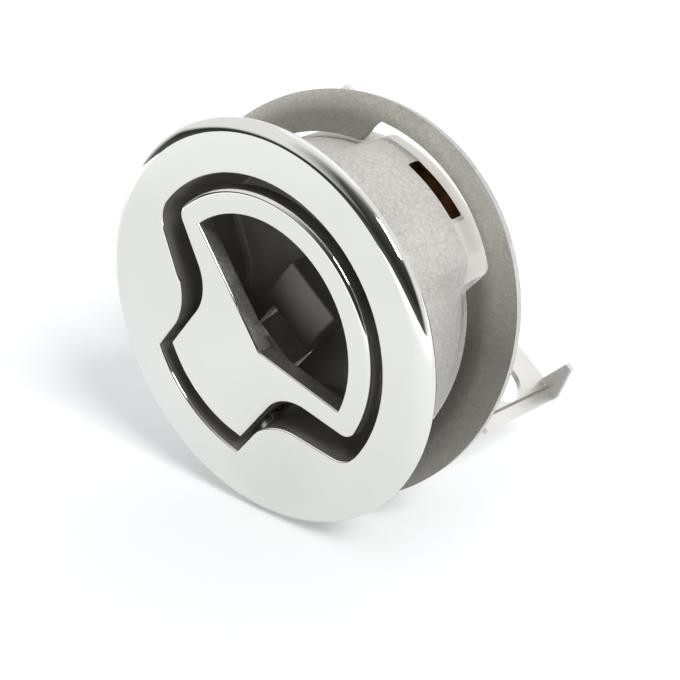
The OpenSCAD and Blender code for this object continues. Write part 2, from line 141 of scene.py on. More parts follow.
# The room has white walls. The side towards the camera is dim, and the polished rim mirrors it.
room = bpy.data.worlds.new("room")
room.use_nodes = True
scene.world = room
tree = room.node_tree
tree.nodes.clear()
heading = tree.nodes.new("ShaderNodeTexCoord").outputs["Generated"]
direction = tree.nodes.new("ShaderNodeSeparateXYZ")
tree.links.new(heading, direction.inputs[0])
height = tree.nodes.new("ShaderNodeValToRGB")
height.color_ramp.elements[0].position = 0.0
height.color_ramp.elements[0].color = (0.10, 0.10, 0.09, 1)
height.color_ramp.elements[1].position = 1.0
height.color_ramp.elements[1].color = (0.80, 0.81, 0.84, 1)
for place, tone in ((0.20, 0.03), (0.45, 0.05), (0.75, 0.11), (0.90, 0.40)):
    stop = height.color_ramp.elements.new(place)
    stop.color = (tone, tone * 0.98, tone * 0.92, 1)
tree.links.new(direction.outputs["Z"], height.inputs["Fac"])
toward = tree.nodes.new("ShaderNodeVectorMath")
toward.operation = "DOT_PRODUCT"
dim_side = (0.58, -0.70, 0.43)
toward.inputs[1].default_value = dim_side
tree.links.new(heading, toward.inputs[0])
dim_front = ranged(tree, toward.outputs["Value"], 0.45, 0.80)
ahead = ranged(tree, direction.outputs["Y"], 0.10, -0.25)
low_band = ranged(tree, direction.outputs["Z"], 0.32, 0.22)
dim = math_node(tree, "MAXIMUM", dim_front, math_node(tree, "MULTIPLY", ahead, low_band))
wall_light, white = (0.72, 0.73, 0.75, 1), (1, 1, 1, 1)
white_walls = colour_mix(tree, seen_directly(tree), wall_light, white)
walls = colour_mix(tree, dim, white_walls, height.outputs["Color"])
camera_ray = tree.nodes.new("ShaderNodeLightPath").outputs["Is Camera Ray"]
air = tree.nodes.new("ShaderNodeBackground")
tree.links.new(colour_mix(tree, camera_ray, walls, white), air.inputs["Color"])
tree.links.new(air.outputs[0], tree.nodes.new("ShaderNodeOutputWorld").inputs["Surface"])

for name, place, size, power in (
    ("key", (1.26, -0.30, 1.26), 0.60, 22.0),
    ("fill", (-0.30, 1.05, 1.65), 1.50, 1.8),
):
    lamp_data = bpy.data.lights.new(name, "AREA")
    lamp_data.size = size
    lamp_data.energy = power
    lamp = bpy.data.objects.new(name, lamp_data)
    lamp.location = place
    lamp.rotation_euler = (-Vector(place)).to_track_quat("-Z", "Y").to_euler()
    scene.collection.objects.link(lamp)


# Cup: one stainless casting of bezel, barrel, lug and handle pocket. The face and rim are
# mirror polished, the barrel is bead blasted, and the pocket has a cast surface painted dark as shade.
MM = 0.001
handle_turn = 40
lie = Matrix.Rotation(math.radians(handle_turn), 4, "Y")
face_y = -3.0
face_r, rim_width, rim_depth, rim_back = 30.0, 1.74, 1.6, 1.4
barrel_r, barrel_rear_r, barrel_len = 25.1, 25.0, 24.0
cavity_r, floor_back = 21.5, 13.4
floor_y, pocket_draft = 11.0, 1.6
lug_r, lug_corner, lug_foot = 26.9, 24.0, 32.5
lug_start, lug_full, lug_rear = 4.5, 14.0, 22.0
round_steps = 256


def arc(cx, cz, r, start, end, n):
    """n + 1 points on an arc, angles in degrees."""
    turn = [math.radians(start + (end - start) * i / n) for i in range(n + 1)]
    return [(cx + r * math.cos(t), cz + r * math.sin(t)) for t in turn]


def shield(fan_r, tab_r, tab_w, neck_r, arm, slope, corner_r, inset):
    """Outline of the pocket or the handle: tab below, two necks and a wide round end above."""
    rf, rt, w, rn = fan_r - inset, tab_r - inset, tab_w - inset, neck_r + inset
    rc = max(corner_r - inset, 0.2)
    cosine, m = math.cos(math.radians(slope)), math.tan(math.radians(slope))
    low = arm[1] + inset / cosine - arm[0] * m
    neck = (w + rn, low + (w + rn) * m - rn / cosine)
    k = low + rc / cosine
    cx = (-m * k + math.sqrt(m * m * k * k - (1 + m * m) * (k * k - (rf - rc) ** 2))) / (1 + m * m)
    cz = k + m * cx
    out = math.degrees(math.atan2(cz, cx))
    half = arc(0, 0, rt, -90, -math.degrees(math.acos(w / rt)), 20)
    half += arc(neck[0], neck[1], rn, 180, 90 + slope, 24)
    half += arc(cx, cz, rc, slope - 90, out, 14)
    half += arc(0, 0, rf, out, 90, 70)[1:]
    return half + [(-x, z) for x, z in reversed(half[1:-1])]


def pocket_outline(inset):
    """Outline of the pocket, set in towards its middle."""
    return shield(
        fan_r=24.0, tab_r=22.8, tab_w=10.8, neck_r=9.5, arm=(22.3, -2.4),
        slope=31.0, corner_r=4.6, inset=inset,
    )


def loop(bm, outline, y):
    """A closed ring of vertices, from an outline in X and Z at depth y, in millimetres."""
    return [bm.verts.new((x * MM, y * MM, z * MM)) for x, z in outline]


def skin(bm, loops, finish):
    """Quads between successive rings of the same length."""
    n = len(loops[0])
    for a, b in zip(loops, loops[1:]):
        for i in range(n):
            bm.faces.new((a[i], a[(i + 1) % n], b[(i + 1) % n], b[i])).material_index = finish


def fill(bm, rings, finish):
    """Flat face bounded by one or more rings."""
    edges = []
    for ring in rings:
        edges += [bm.edges.get((ring[i], ring[(i + 1) % len(ring)])) for i in range(len(ring))]
    filled = bmesh.ops.triangle_fill(bm, use_beauty=True, use_dissolve=False, edges=edges)
    for item in filled["geom"]:
        if isinstance(item, bmesh.types.BMFace):
            item.material_index = finish


def circle_at(bm, r, y, lift=None):
    """A round ring at depth y, its radius changed by lift(r, y, angle) where that is given."""
    points = []
    for i in range(round_steps):
        t = 2 * math.pi * i / round_steps
        rr = lift(r, y, t) if lift else r
        points.append((rr * math.cos(t), rr * math.sin(t)))
    return loop(bm, points, y)


def smooth(a, b, v):
    """0 at a and 1 at b, with a soft start and end."""
    t = min(max((v - a) / (b - a), 0.0), 1.0)
    return t * t * (3 - 2 * t)


def with_lug(r, y, t):
    """Radius of the barrel, raised to the lug on the handle's finger side."""
    off = abs(math.degrees(math.atan2(math.cos(t), math.sin(t))))
    flank = min(max((lug_foot - off) / (lug_foot - lug_corner), 0.0), 1.0)
    share = smooth(lug_start, lug_full, y) * (0.3 * flank + 0.7 * smooth(0, 1, flank))
    return r + (lug_r - r) * share if y <= lug_rear else r


def made(name, bm, finishes):
    """A mesh object in the upright latch frame."""
    bmesh.ops.recalc_face_normals(bm, faces=bm.faces)
    mesh = bpy.data.meshes.new(name)
    bm.to_mesh(mesh)
    bm.free()
    for finish in finishes:
        mesh.materials.append(finish)
    obj = bpy.data.objects.new(name, mesh)
    scene.collection.objects.link(obj)
    return obj


def block(name, low, high, finish_index, finishes, ease=0.0):
    """A box between two corners, its edges eased by a bevel."""
    bm = bmesh.new()
    bmesh.ops.create_cube(bm, size=1.0)
    for v in bm.verts:
        v.co = Vector([(low[i] + (v.co[i] + 0.5) * (high[i] - low[i])) * MM for i in range(3)])
    if ease:
        bmesh.ops.bevel(
            bm, geom=bm.edges[:], offset=ease * MM, segments=4, profile=0.5, affect="EDGES"
        )
    for f in bm.faces:
        f.material_index = finish_index
    return made(name, bm, finishes)


def rod(name, axis, r, low, high, place, finish_index, finishes, steps=64):
    """A cylinder along X or Y from low to high, through place in the other two directions."""
    bm = bmesh.new()
    ends = []
    for end in (low, high):
        ring = []
        for i in range(steps):
            t = 2 * math.pi * i / steps
            u, v = place[0] + r * math.cos(t), place[1] + r * math.sin(t)
            point = (end, u, v) if axis == "X" else (u, end, v)
            ring.append(bm.verts.new([c * MM for c in point]))
        ends.append(ring)
    skin(bm, ends, finish_index)
    for ring in ends:
        bm.faces.new(ring).material_index = finish_index
    return made(name, bm, finishes)


def worked(obj):
    """Turns an object's modifiers into its plain mesh."""
    seen = obj.evaluated_get(bpy.context.evaluated_depsgraph_get())
    mesh = bpy.data.meshes.new_from_object(seen)
    obj.modifiers.clear()
    obj.data = mesh
    mesh.name = obj.name


def combine(obj, tools):
    """Joins or cuts a piece with the tools, each (object, operation), and removes them."""
    for tool, operation in tools:
        step = obj.modifiers.new(tool.name, "BOOLEAN")
        step.object = tool
        step.operation = operation
        step.solver = "EXACT"
    worked(obj)
    for tool, _ in tools:
        bpy.data.objects.remove(tool)


def finished(obj, body, nodes, crease=30.0):
    """Even shading, then the roll in which the latch lies, and the frame's own calls."""
    obj.data.shade_smooth()
    obj.data.set_sharp_from_angle(angle=math.radians(crease))
    even = obj.modifiers.new("even shading", "WEIGHTED_NORMAL")
    even.keep_sharp = True
    worked(obj)
    obj.data.transform(lie)
    if isinstance(body, str):
        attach(obj, body)
    else:
        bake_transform(obj)
    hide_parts(*nodes)


def shader_group(name, inputs, outputs):
    """An empty node group with float inputs (name, value) and outputs."""
    tree = bpy.data.node_groups.new(name, "ShaderNodeTree")
    for label, value in inputs:
        socket = tree.interface.new_socket(label, in_out="INPUT", socket_type="NodeSocketFloat")
        socket.default_value = value
    for label in outputs:
        tree.interface.new_socket(label, in_out="OUTPUT", socket_type="NodeSocketFloat")
    return tree, tree.nodes.new("NodeGroupInput"), tree.nodes.new("NodeGroupOutput")


def noise_node(tree, where, scale, detail):
    """Output of a noise whose scale is a number or a socket."""
    node = tree.nodes.new("ShaderNodeTexNoise")
    node.inputs["Detail"].default_value = detail
    tree.links.new(where, node.inputs["Vector"])
    if isinstance(scale, (int, float)):
        node.inputs["Scale"].default_value = scale
    else:
        tree.links.new(scale, node.inputs["Scale"])
    return node.outputs["Fac"]


# Grain of a blasted or cast surface: fine grit, and slow cloudy patches.
grit, grit_in, grit_out = shader_group(
    "grit", [("Grain scale", 1800.0), ("Cloud scale", 90.0)], ["Grain", "Cloud"]
)
grit_at = grit.nodes.new("ShaderNodeTexCoord").outputs["Object"]
fine = noise_node(grit, grit_at, grit_in.outputs["Grain scale"], 3.0)
coarse_scale = math_node(grit, "MULTIPLY", grit_in.outputs["Grain scale"], 0.4)
coarse = noise_node(grit, grit_at, coarse_scale, 2.0)
fine_share = math_node(grit, "MULTIPLY", fine, 0.6)
coarse_share = math_node(grit, "MULTIPLY", coarse, 0.4)
grit.links.new(math_node(grit, "ADD", fine_share, coarse_share), grit_out.inputs["Grain"])
grit.links.new(noise_node(grit, grit_at, grit_in.outputs["Cloud scale"], 4.0), grit_out.inputs["Cloud"])

# Handling marks on a worked surface: hairlines from polishing, and faint smears.
marks, marks_in, marks_out = shader_group(
    "handling_marks", [("Line scale", 900.0), ("Smear scale", 60.0)], ["Lines", "Smear"]
)
marks_at = marks.nodes.new("ShaderNodeTexCoord").outputs["Object"]
stretch = marks.nodes.new("ShaderNodeMapping")
stretch.inputs["Scale"].default_value = (1.0, 1.0, 0.04)
stretch.inputs["Rotation"].default_value = (0.0, 0.7, 0.0)
marks.links.new(marks_at, stretch.inputs["Vector"])
hairlines = noise_node(marks, stretch.outputs[0], marks_in.outputs["Line scale"], 2.0)
marks.links.new(hairlines, marks_out.inputs["Lines"])
smears = noise_node(marks, marks_at, marks_in.outputs["Smear scale"], 3.0)
marks.links.new(smears, marks_out.inputs["Smear"])


def metal(name, group, values, dark, light, tone, rough, bump, depth):
    """A metal whose colour and roughness follow one output of a group, and its bump another.
    tone and rough are (output, from, to), bump is an output and depth is (strength, distance)."""
    mat = bpy.data.materials.new(name)
    mat.use_nodes = True
    tree = mat.node_tree
    shader = tree.nodes["Principled BSDF"]
    shader.inputs["Metallic"].default_value = 1.0
    pattern = tree.nodes.new("ShaderNodeGroup")
    pattern.node_tree = group
    for label, value in values.items():
        pattern.inputs[label].default_value = value
    spread = ranged(tree, pattern.outputs[tone[0]], tone[1], tone[2])
    shade = colour_mix(tree, spread, (*dark, 1), (*light, 1))
    tree.links.new(shade, shader.inputs["Base Color"])
    gloss = ranged(tree, pattern.outputs[rough[0]], 0.3, 0.7, rough[1], rough[2])
    tree.links.new(gloss, shader.inputs["Roughness"])
    relief = tree.nodes.new("ShaderNodeBump")
    relief.inputs["Strength"].default_value = depth[0]
    relief.inputs["Distance"].default_value = depth[1]
    tree.links.new(pattern.outputs[bump], relief.inputs["Height"])
    tree.links.new(relief.outputs[0], shader.inputs["Normal"])
    return mat


polished = metal(
    "polished_steel", marks, {"Line scale": 700.0, "Smear scale": 45.0},
    (0.72, 0.725, 0.69), (0.77, 0.775, 0.74), ("Smear", 0.3, 0.7), ("Lines", 0.035, 0.07),
    "Smear", (0.04, 0.0004),
)
blasted = metal(
    "blasted_steel", grit, {"Grain scale": 3600.0, "Cloud scale": 110.0},
    (0.58, 0.57, 0.55), (0.74, 0.73, 0.705), ("Grain", 0.35, 0.65), ("Cloud", 0.84, 0.94),
    "Grain", (0.55, 0.0003),
)
# Cast steel: a rough cast surface, its colour painted dark as the shade in the pocket and cavity.
cast_and_shade = metal(
    "cast_steel_and_painted_shade", grit, {"Grain scale": 900.0, "Cloud scale": 70.0},
    (0.24, 0.23, 0.21), (0.42, 0.405, 0.375), ("Cloud", 0.3, 0.7), ("Cloud", 0.62, 0.78),
    "Grain", (0.35, 0.0003),
)
stained = metal(
    "stained_slot", grit, {"Grain scale": 900.0, "Cloud scale": 400.0},
    (0.10, 0.055, 0.02), (0.34, 0.20, 0.08), ("Cloud", 0.35, 0.65), ("Cloud", 0.45, 0.6),
    "Grain", (0.35, 0.0003),
)
dressed = metal(
    "dressed_lug", grit, {"Grain scale": 3200.0, "Cloud scale": 200.0},
    (0.64, 0.62, 0.58), (0.74, 0.72, 0.675), ("Cloud", 0.3, 0.7), ("Cloud", 0.50, 0.62),
    "Grain", (0.12, 0.0002),
)
cup_finishes = [polished, blasted, cast_and_shade, stained, dressed]
POLISHED, BLASTED, CAST_AND_SHADE, STAINED, DRESSED = 0, 1, 2, 3, 4

bm = bmesh.new()
rim_from = math.radians(24)
rim = [
    circle_at(
        bm,
        face_r + rim_width * (math.sin(t) - math.sin(rim_from)) / (1 - math.sin(rim_from)),
        face_y + rim_depth * (1 - math.cos(t) / math.cos(rim_from)),
    )
    for t in [rim_from + (math.pi / 2 - rim_from) * i / 16 for i in range(17)]
]
rim += [
    circle_at(bm, face_r + rim_width - rim_back * (1 - math.cos(t)), rim_back * (math.sin(t) - 1))
    for t in [math.radians(90 * i / 10) for i in range(11)]
]
skin(bm, rim, POLISHED)
foot_round, lug_ease, rear_ease, cavity_ease, cavity_round = 0.6, 0.3, 0.3, 0.4, 0.6
barrel_steps, barrel_run = 42, lug_rear - 1.4


def barrel_lift(r, y, t):
    """Radius of the barrel with its lug, whose rear edge is eased."""
    out = with_lug(r, y, t)
    ease = lug_ease if y == lug_rear else 0.0
    return out - ease * (out > r + ease)


barrel = [rim[-1]]
for t in (0, 0.4, 0.8, 1.2):
    barrel.append(circle_at(bm, barrel_r + foot_round * (1 - math.sin(t)), foot_round * (1 - math.cos(t))))
barrel_slope = (barrel_rear_r - barrel_r) / barrel_len
lug_edge = [lug_rear - lug_ease, lug_rear, lug_rear + 0.02, barrel_len - 0.4]
for y in [foot_round + barrel_run * i / barrel_steps for i in range(1, barrel_steps + 1)] + lug_edge:
    barrel.append(circle_at(bm, barrel_r + barrel_slope * y, y, barrel_lift))
barrel.append(circle_at(bm, barrel_rear_r - rear_ease, barrel_len))
barrel.append(circle_at(bm, cavity_r + cavity_ease, barrel_len))
skin(bm, barrel, BLASTED)
cavity = [barrel[-1], circle_at(bm, cavity_r, barrel_len - cavity_ease)]
cavity.append(circle_at(bm, cavity_r, floor_back + cavity_round))
cavity.append(circle_at(bm, cavity_r - cavity_round, floor_back))
skin(bm, cavity, CAST_AND_SHADE)
fill(bm, [cavity[-1]], CAST_AND_SHADE)
lip = 0.35
pocket = [
    loop(bm, pocket_outline(-lip * (1 - math.sin(t))), face_y + lip * (1 - math.cos(t)))
    for t in [math.radians(90 * i / 6) for i in range(7)]
]
skin(bm, pocket, POLISHED)
fill(bm, [rim[0], pocket[0]], POLISHED)
wall = [pocket[-1]]
draft_from = -1.5
for y in (draft_from, 1, 3.5, 6, 8.5, 10.2):
    share = max(y - draft_from, 0) / (floor_y - draft_from)
    wall.append(loop(bm, pocket_outline(pocket_draft * share), y))
wall.append(loop(bm, pocket_outline(pocket_draft + 0.2), 10.8))
wall.append(loop(bm, pocket_outline(pocket_draft + 0.7), floor_y))
skin(bm, wall, CAST_AND_SHADE)
fill(bm, [wall[-1]], CAST_AND_SHADE)
cup = made("cup_casting", bm, cup_finishes)

handle_pin_y, handle_pin_z, pin_r = 2.6, -15.5, 2.0
slit_half, slit_low, slit_high = 5.0, -20.0, -3.2
boss_low, boss_high = (-5.5, 5.4, -2.2), (5.5, floor_y + 1.2, 6.7)
screw_x, screw_z, screw_bore_r, screw_bore_end = 3.0, 2.25, 1.55, 6.4
slot_half, slot_front, slot_rear = 5.25, 16.9, 19.5
slot_low, slot_high = (-slot_half, slot_front, 12.0), (slot_half, slot_rear, 32.0)
arm_low, arm_high = (-slit_half, floor_y - 0.5, slit_low), (slit_half, floor_back + 0.5, slit_high)
hinge = (handle_pin_y, handle_pin_z)
bores = []
for side, x in (("left", -screw_x), ("right", screw_x)):
    size = (screw_bore_r, screw_bore_end, floor_back + 1.6)
    bore = rod("screw_bore_" + side, "Y", *size, (x, screw_z), CAST_AND_SHADE, cup_finishes, 32)
    bores.append((bore, "DIFFERENCE"))
combine(cup, [
    (block("boss", boss_low, boss_high, CAST_AND_SHADE, cup_finishes, 0.5), "UNION"),
    (block("arm_slit", arm_low, arm_high, CAST_AND_SHADE, cup_finishes), "DIFFERENCE"),
    (block("lug_slot", slot_low, slot_high, STAINED, cup_finishes, 0.4), "DIFFERENCE"),
    (rod("pin_bore", "X", pin_r, -30, 30, hinge, CAST_AND_SHADE, cup_finishes), "DIFFERENCE"),
    *bores,
])
dressed_behind, dressed_beside, slot_side = 19.6, 17.0, 12
for f in cup.data.polygons:
    x, y, z = [c / MM for c in f.center]
    off = math.degrees(math.atan2(x, z))
    on_lug = f.material_index == BLASTED and abs(off) < lug_foot and y < lug_rear + 0.3
    if on_lug and (y > dressed_behind or (y > dressed_beside and off > slot_side)):
        f.material_index = DRESSED
finished(cup, "cup", ["cup"], 16.0)


# Handle: a stainless pull cast in one piece with its knuckles and release leg. The front and
# its rounded edge are mirror polished, and the wall of the finger hole keeps a rough cut.
handle_back, back_ease, hole_ease = 0.0, 0.4, 0.3
edge_round = 0.8
hole_r, hole_point_x, hole_point_z = 18.0, 2.6, -1.9
hole_left, hole_right = (-17.4, 4.2), (16.9, 4.2)
knuckle_r, knuckle_half = 3.6, 9.2
coil_low, coil_high = 3.0, 6.84


def handle_outline(inset):
    """Outline of the handle, set in towards its middle."""
    return shield(
        fan_r=21.8, tab_r=20.0, tab_w=9.6, neck_r=7.5, arm=(20.3, 1.5),
        slope=25.4, corner_r=2.2, inset=inset,
    )


def hole_outline(grow):
    """Round edge above and two edges below that meet at a blunt point."""
    r = hole_r + grow
    start = math.degrees(math.atan2(hole_right[1], hole_right[0])) - math.degrees(grow / r)
    end = math.degrees(math.atan2(hole_left[1], hole_left[0])) + math.degrees(grow / r)
    over = arc(0, 0, r, start, end, 80)
    point = (hole_point_x, hole_point_z - grow)

    def edge(a, b, n):
        return [(a[0] + (b[0] - a[0]) * i / n, a[1] + (b[1] - a[1]) * i / n) for i in range(1, n)]

    return over + edge(over[-1], point, 24) + [point] + edge(point, over[0], 20)


hole_cut = metal(
    "cut_steel", grit, {"Grain scale": 2400.0, "Cloud scale": 160.0},
    (0.36, 0.345, 0.32), (0.62, 0.60, 0.57), ("Grain", 0.3, 0.7), ("Cloud", 0.35, 0.5),
    "Grain", (0.6, 0.0003),
)
# The handle's sides, back, knuckles and leg take the cast colour, painted dark as shade.
handle_finishes = [polished, hole_cut, cast_and_shade]
CUT = 1
bm = bmesh.new()
front_edge = [
    loop(bm, handle_outline(edge_round * (1 - math.sin(t))), face_y + edge_round * (1 - math.cos(t)))
    for t in [math.radians(90 * i / 10) for i in range(11)]
]
skin(bm, front_edge, POLISHED)
side = [front_edge[-1], loop(bm, handle_outline(0), handle_back - back_ease)]
side.append(loop(bm, handle_outline(back_ease), handle_back))
skin(bm, side, CAST_AND_SHADE)
hole_lip = 0.25
inner_edge = [
    loop(bm, hole_outline(hole_lip * (1 - math.sin(t))), face_y + hole_lip * (1 - math.cos(t)))
    for t in [math.radians(90 * i / 4) for i in range(5)]
]
skin(bm, inner_edge, POLISHED)
inner = [inner_edge[-1], loop(bm, hole_outline(0), handle_back - hole_ease)]
inner.append(loop(bm, hole_outline(hole_ease), handle_back))
skin(bm, inner, CUT)
fill(bm, [front_edge[0], inner_edge[0]], POLISHED)
fill(bm, [side[-1], inner[-1]], CAST_AND_SHADE)
handle = made("pull_handle", bm, handle_finishes)
leg_half, leg_end, leg_below, leg_above = 2.4, 13.0, 1.5, 2.3
leg_low = (-leg_half, handle_pin_y, handle_pin_z - leg_below)
leg_high = (leg_half, leg_end, handle_pin_z + leg_above)
pin_play, recess_r = 0.05, 3.35
combine(handle, [
    (rod("knuckle_long", "X", knuckle_r, -knuckle_half, coil_low, hinge, CAST_AND_SHADE, handle_finishes), "UNION"),
    (rod("knuckle_short", "X", knuckle_r, coil_high, knuckle_half, hinge, CAST_AND_SHADE, handle_finishes), "UNION"),
    (block("release_leg", leg_low, leg_high, CAST_AND_SHADE, handle_finishes, 0.4), "UNION"),
    (rod("pin_bore", "X", pin_r + pin_play, -12, 12, hinge, CAST_AND_SHADE, handle_finishes), "DIFFERENCE"),
    (rod("coil_recess", "X", recess_r, coil_low, coil_high, hinge, CAST_AND_SHADE, handle_finishes), "DIFFERENCE"),
])
finished(handle, "handle", ["handle"])


# Mounting plate: a stamped steel disc, loose on the barrel, that clamps the panel. It is
# pressed back inside its rim, a notch lets it pass the lug, and it hangs askew on the barrel.
plate_mid, plate_t, plate_step, plate_r = 10.56, 1.4, 0.5, 31.75
plate_x, plate_z, plate_hole_r = 0.9, 2.8, 26.587
notch_x, notch_half, notch_r, notch_corner = 0.4, 14.0, 28.25, 1.6
plate_turn, plate_tilt = 12.5, 15
lean = (
    Matrix.Translation((0, plate_mid * MM, 0))
    @ Matrix.Rotation(math.radians(-plate_turn), 4, "Y")
    @ Matrix.Rotation(math.radians(-plate_tilt), 4, "X")
    @ Matrix.Rotation(math.radians(plate_turn), 4, "Y")
)
# Sheared steel: the rough edge of the pawl's teeth, and a painted highlight on the plate's rim.
sheared_and_highlight = metal(
    "sheared_edge_and_highlight", grit, {"Grain scale": 2600.0, "Cloud scale": 300.0},
    (0.46, 0.45, 0.43), (0.72, 0.71, 0.69), ("Grain", 0.3, 0.7), ("Cloud", 0.40, 0.55),
    "Grain", (0.5, 0.0003),
)
plate_steel = metal(
    "stamped_plate_steel", grit, {"Grain scale": 3000.0, "Cloud scale": 120.0},
    (0.44, 0.43, 0.385), (0.56, 0.55, 0.50), ("Grain", 0.35, 0.65), ("Cloud", 0.42, 0.54),
    "Grain", (0.30, 0.0002),
)

# Painted shade darkens the plate towards its bottom, and painted light brightens its outer band.
tree = plate_steel.node_tree
plate_at = tree.nodes.new("ShaderNodeTexCoord").outputs["Object"]
where = tree.nodes.new("ShaderNodeSeparateXYZ")
tree.links.new(plate_at, where.inputs[0])
shade_from, shade_to = 0.0, 24.0
shade_by_height = ranged(tree, where.outputs["Z"], shade_from * MM, shade_to * MM, 0.50, 1.4)
from_middle = tree.nodes.new("ShaderNodeVectorMath")
from_middle.operation = "DISTANCE"
from_middle.inputs[1].default_value = lean @ Vector((plate_x * MM, 0, plate_z * MM))
tree.links.new(plate_at, from_middle.inputs[0])
light_band_from, light_band_to = 26.8, 29.8
light_band = ranged(tree, from_middle.outputs["Value"], light_band_from * MM, light_band_to * MM, 0.60, 1.2)
painted_light_scale = tree.nodes.new("ShaderNodeVectorMath")
painted_light_scale.operation = "SCALE"
shader = tree.nodes["Principled BSDF"]
tree.links.new(shader.inputs["Base Color"].links[0].from_socket, painted_light_scale.inputs[0])
tree.links.new(math_node(tree, "MULTIPLY", shade_by_height, light_band), painted_light_scale.inputs["Scale"])
tree.links.new(painted_light_scale.outputs[0], shader.inputs["Base Color"])


def notch_outline():
    """The notch: two sides, rounded corners and an arc about the disc's middle."""
    cx = notch_half - notch_corner
    cz = math.sqrt((notch_r - notch_corner) ** 2 - cx * cx)
    out = math.degrees(math.atan2(cz, cx))
    right = [(0, 0), (notch_half, 0)]
    right += arc(cx, cz, notch_corner, 0, out, 12) + arc(0, 0, notch_r, out, 90, 30)[1:]
    whole = right + [(-x, z) for x, z in reversed(right[1:-1])]
    return [(x + notch_x, z + plate_z) for x, z in whole]


def eased(obj, width, segments=2):
    """Breaks a piece's sharp edges by a small bevel."""
    step = obj.modifiers.new("eased edges", "BEVEL")
    step.width = width * MM
    step.segments = segments
    step.limit_method = "ANGLE"
    step.angle_limit = math.radians(35)
    worked(obj)


bm = bmesh.new()
plate_front, plate_back = -plate_t / 2, plate_t / 2
inner_r, dish = 15.0, 0.4
press = [(25.7, 1.0), (26.3, 0.85), (26.9, 0.15), (27.5, 0.0)]
profile = [(inner_r, plate_front + plate_step)] + [(r, plate_front + plate_step * d) for r, d in press]
profile += [(plate_r, plate_front + dish), (plate_r, plate_back + dish)]
profile += [(r, plate_back + plate_step * d) for r, d in reversed(press)]
profile += [(inner_r, plate_back + plate_step)]
rings = [circle_at(bm, r, y) for r, y in profile]
skin(bm, rings + [rings[0]], 0)
plate = made("mounting_plate_disc", bm, [plate_steel])
plate.data.transform(Matrix.Translation((plate_x * MM, 0, plate_z * MM)))
bm = bmesh.new()
notch = [loop(bm, notch_outline(), y) for y in (-4, 4)]
skin(bm, notch, 0)
for ring in notch:
    fill(bm, [ring], 0)
combine(plate, [
    (rod("barrel_hole", "Y", plate_hole_r, -4, 4, (0, 0), 0, [plate_steel], round_steps), "DIFFERENCE"),
    (made("lug_notch", bm, [plate_steel]), "DIFFERENCE"),
])
eased(plate, 0.22)
plate.data.materials.append(sheared_and_highlight)
SHEARED_AND_HIGHLIGHT = 1
# The plate's sheared rim is painted in this lighter colour as a highlight.
for f in plate.data.polygons:
    if math.hypot(f.center[0] / MM - plate_x, f.center[2] / MM - plate_z) > plate_r - 0.3:
        f.material_index = SHEARED_AND_HIGHLIGHT
plate.data.transform(lean)
finished(plate, "plate", ["mounting_plate"])


# Handle pin: a turned steel pin, driven through the barrel's wall, on which the handle swings.
# Its ends are ground to a small chamfer just inside the barrel.
turned_steel = metal(
    "turned_steel", marks, {"Line scale": 1400.0, "Smear scale": 150.0},
    (0.42, 0.42, 0.42), (0.56, 0.56, 0.56), ("Smear", 0.3, 0.7), ("Lines", 0.22, 0.34),
    "Lines", (0.10, 0.0002),
)
handle_pin_half = 17.4
handle_pin = rod("handle_hinge_pin", "X", pin_r, -handle_pin_half, handle_pin_half, hinge, 0, [turned_steel])
eased(handle_pin, 0.25)
finished(handle_pin, "cup", ["handle_pin"])


# Springs: two torsion springs of drawn steel wire, one round each hinge pin, each with two
# straight legs. One lays the handle flush, the other holds the pawl up.
wire_r, coil_r, coil_pitch, coil_turns, coil_x = 0.35, 2.6, 0.78, 3, 3.75
coil_steps = 106
spring_wire = metal(
    "spring_wire", marks, {"Line scale": 2000.0, "Smear scale": 200.0},
    (0.34, 0.34, 0.35), (0.50, 0.50, 0.51), ("Smear", 0.3, 0.7), ("Lines", 0.24, 0.36),
    "Lines", (0.08, 0.0002),
)


def geometry_tree(name, inputs):
    """An empty geometry tree with named inputs, each (name, socket type)."""
    tree = bpy.data.node_groups.new(name, "GeometryNodeTree")
    tree.interface.new_socket("Geometry", in_out="INPUT", socket_type="NodeSocketGeometry")
    for label, kind in inputs:
        tree.interface.new_socket(label, in_out="INPUT", socket_type=kind)
    tree.interface.new_socket("Geometry", in_out="OUTPUT", socket_type="NodeSocketGeometry")
    return tree, tree.nodes.new("NodeGroupInput"), tree.nodes.new("NodeGroupOutput")


def grown(obj, tree, values):
    """Runs a geometry tree on an object and keeps the result as its plain mesh."""
    step = obj.modifiers.new(tree.name, "NODES")
    step.node_group = tree
    for item in tree.interface.items_tree:
        if item.in_out == "INPUT" and item.name in values:
            step[item.identifier] = values[item.name]
    worked(obj)


wire_tree, wire_in, wire_out = geometry_tree(
    "wire_along_path", [("Wire radius", "NodeSocketFloat"), ("Finish", "NodeSocketMaterial")]
)
path = wire_tree.nodes.new("GeometryNodeMeshToCurve")
section = wire_tree.nodes.new("GeometryNodeCurvePrimitiveCircle")
section.inputs["Resolution"].default_value = 16
drawn = wire_tree.nodes.new("GeometryNodeCurveToMesh")
drawn.inputs["Fill Caps"].default_value = True
coat = wire_tree.nodes.new("GeometryNodeSetMaterial")
wire_tree.links.new(wire_in.outputs["Geometry"], path.inputs["Mesh"])
wire_tree.links.new(wire_in.outputs["Wire radius"], section.inputs["Radius"])
wire_tree.links.new(path.outputs["Curve"], drawn.inputs["Curve"])
wire_tree.links.new(section.outputs["Curve"], drawn.inputs["Profile Curve"])
real = wire_tree.nodes.new("GeometryNodeRealizeInstances")
wire_tree.links.new(drawn.outputs["Mesh"], real.inputs["Geometry"])
wire_tree.links.new(real.outputs["Geometry"], coat.inputs["Geometry"])
wire_tree.links.new(wire_in.outputs["Finish"], coat.inputs["Material"])
wire_tree.links.new(coat.outputs["Geometry"], wire_out.inputs["Geometry"])

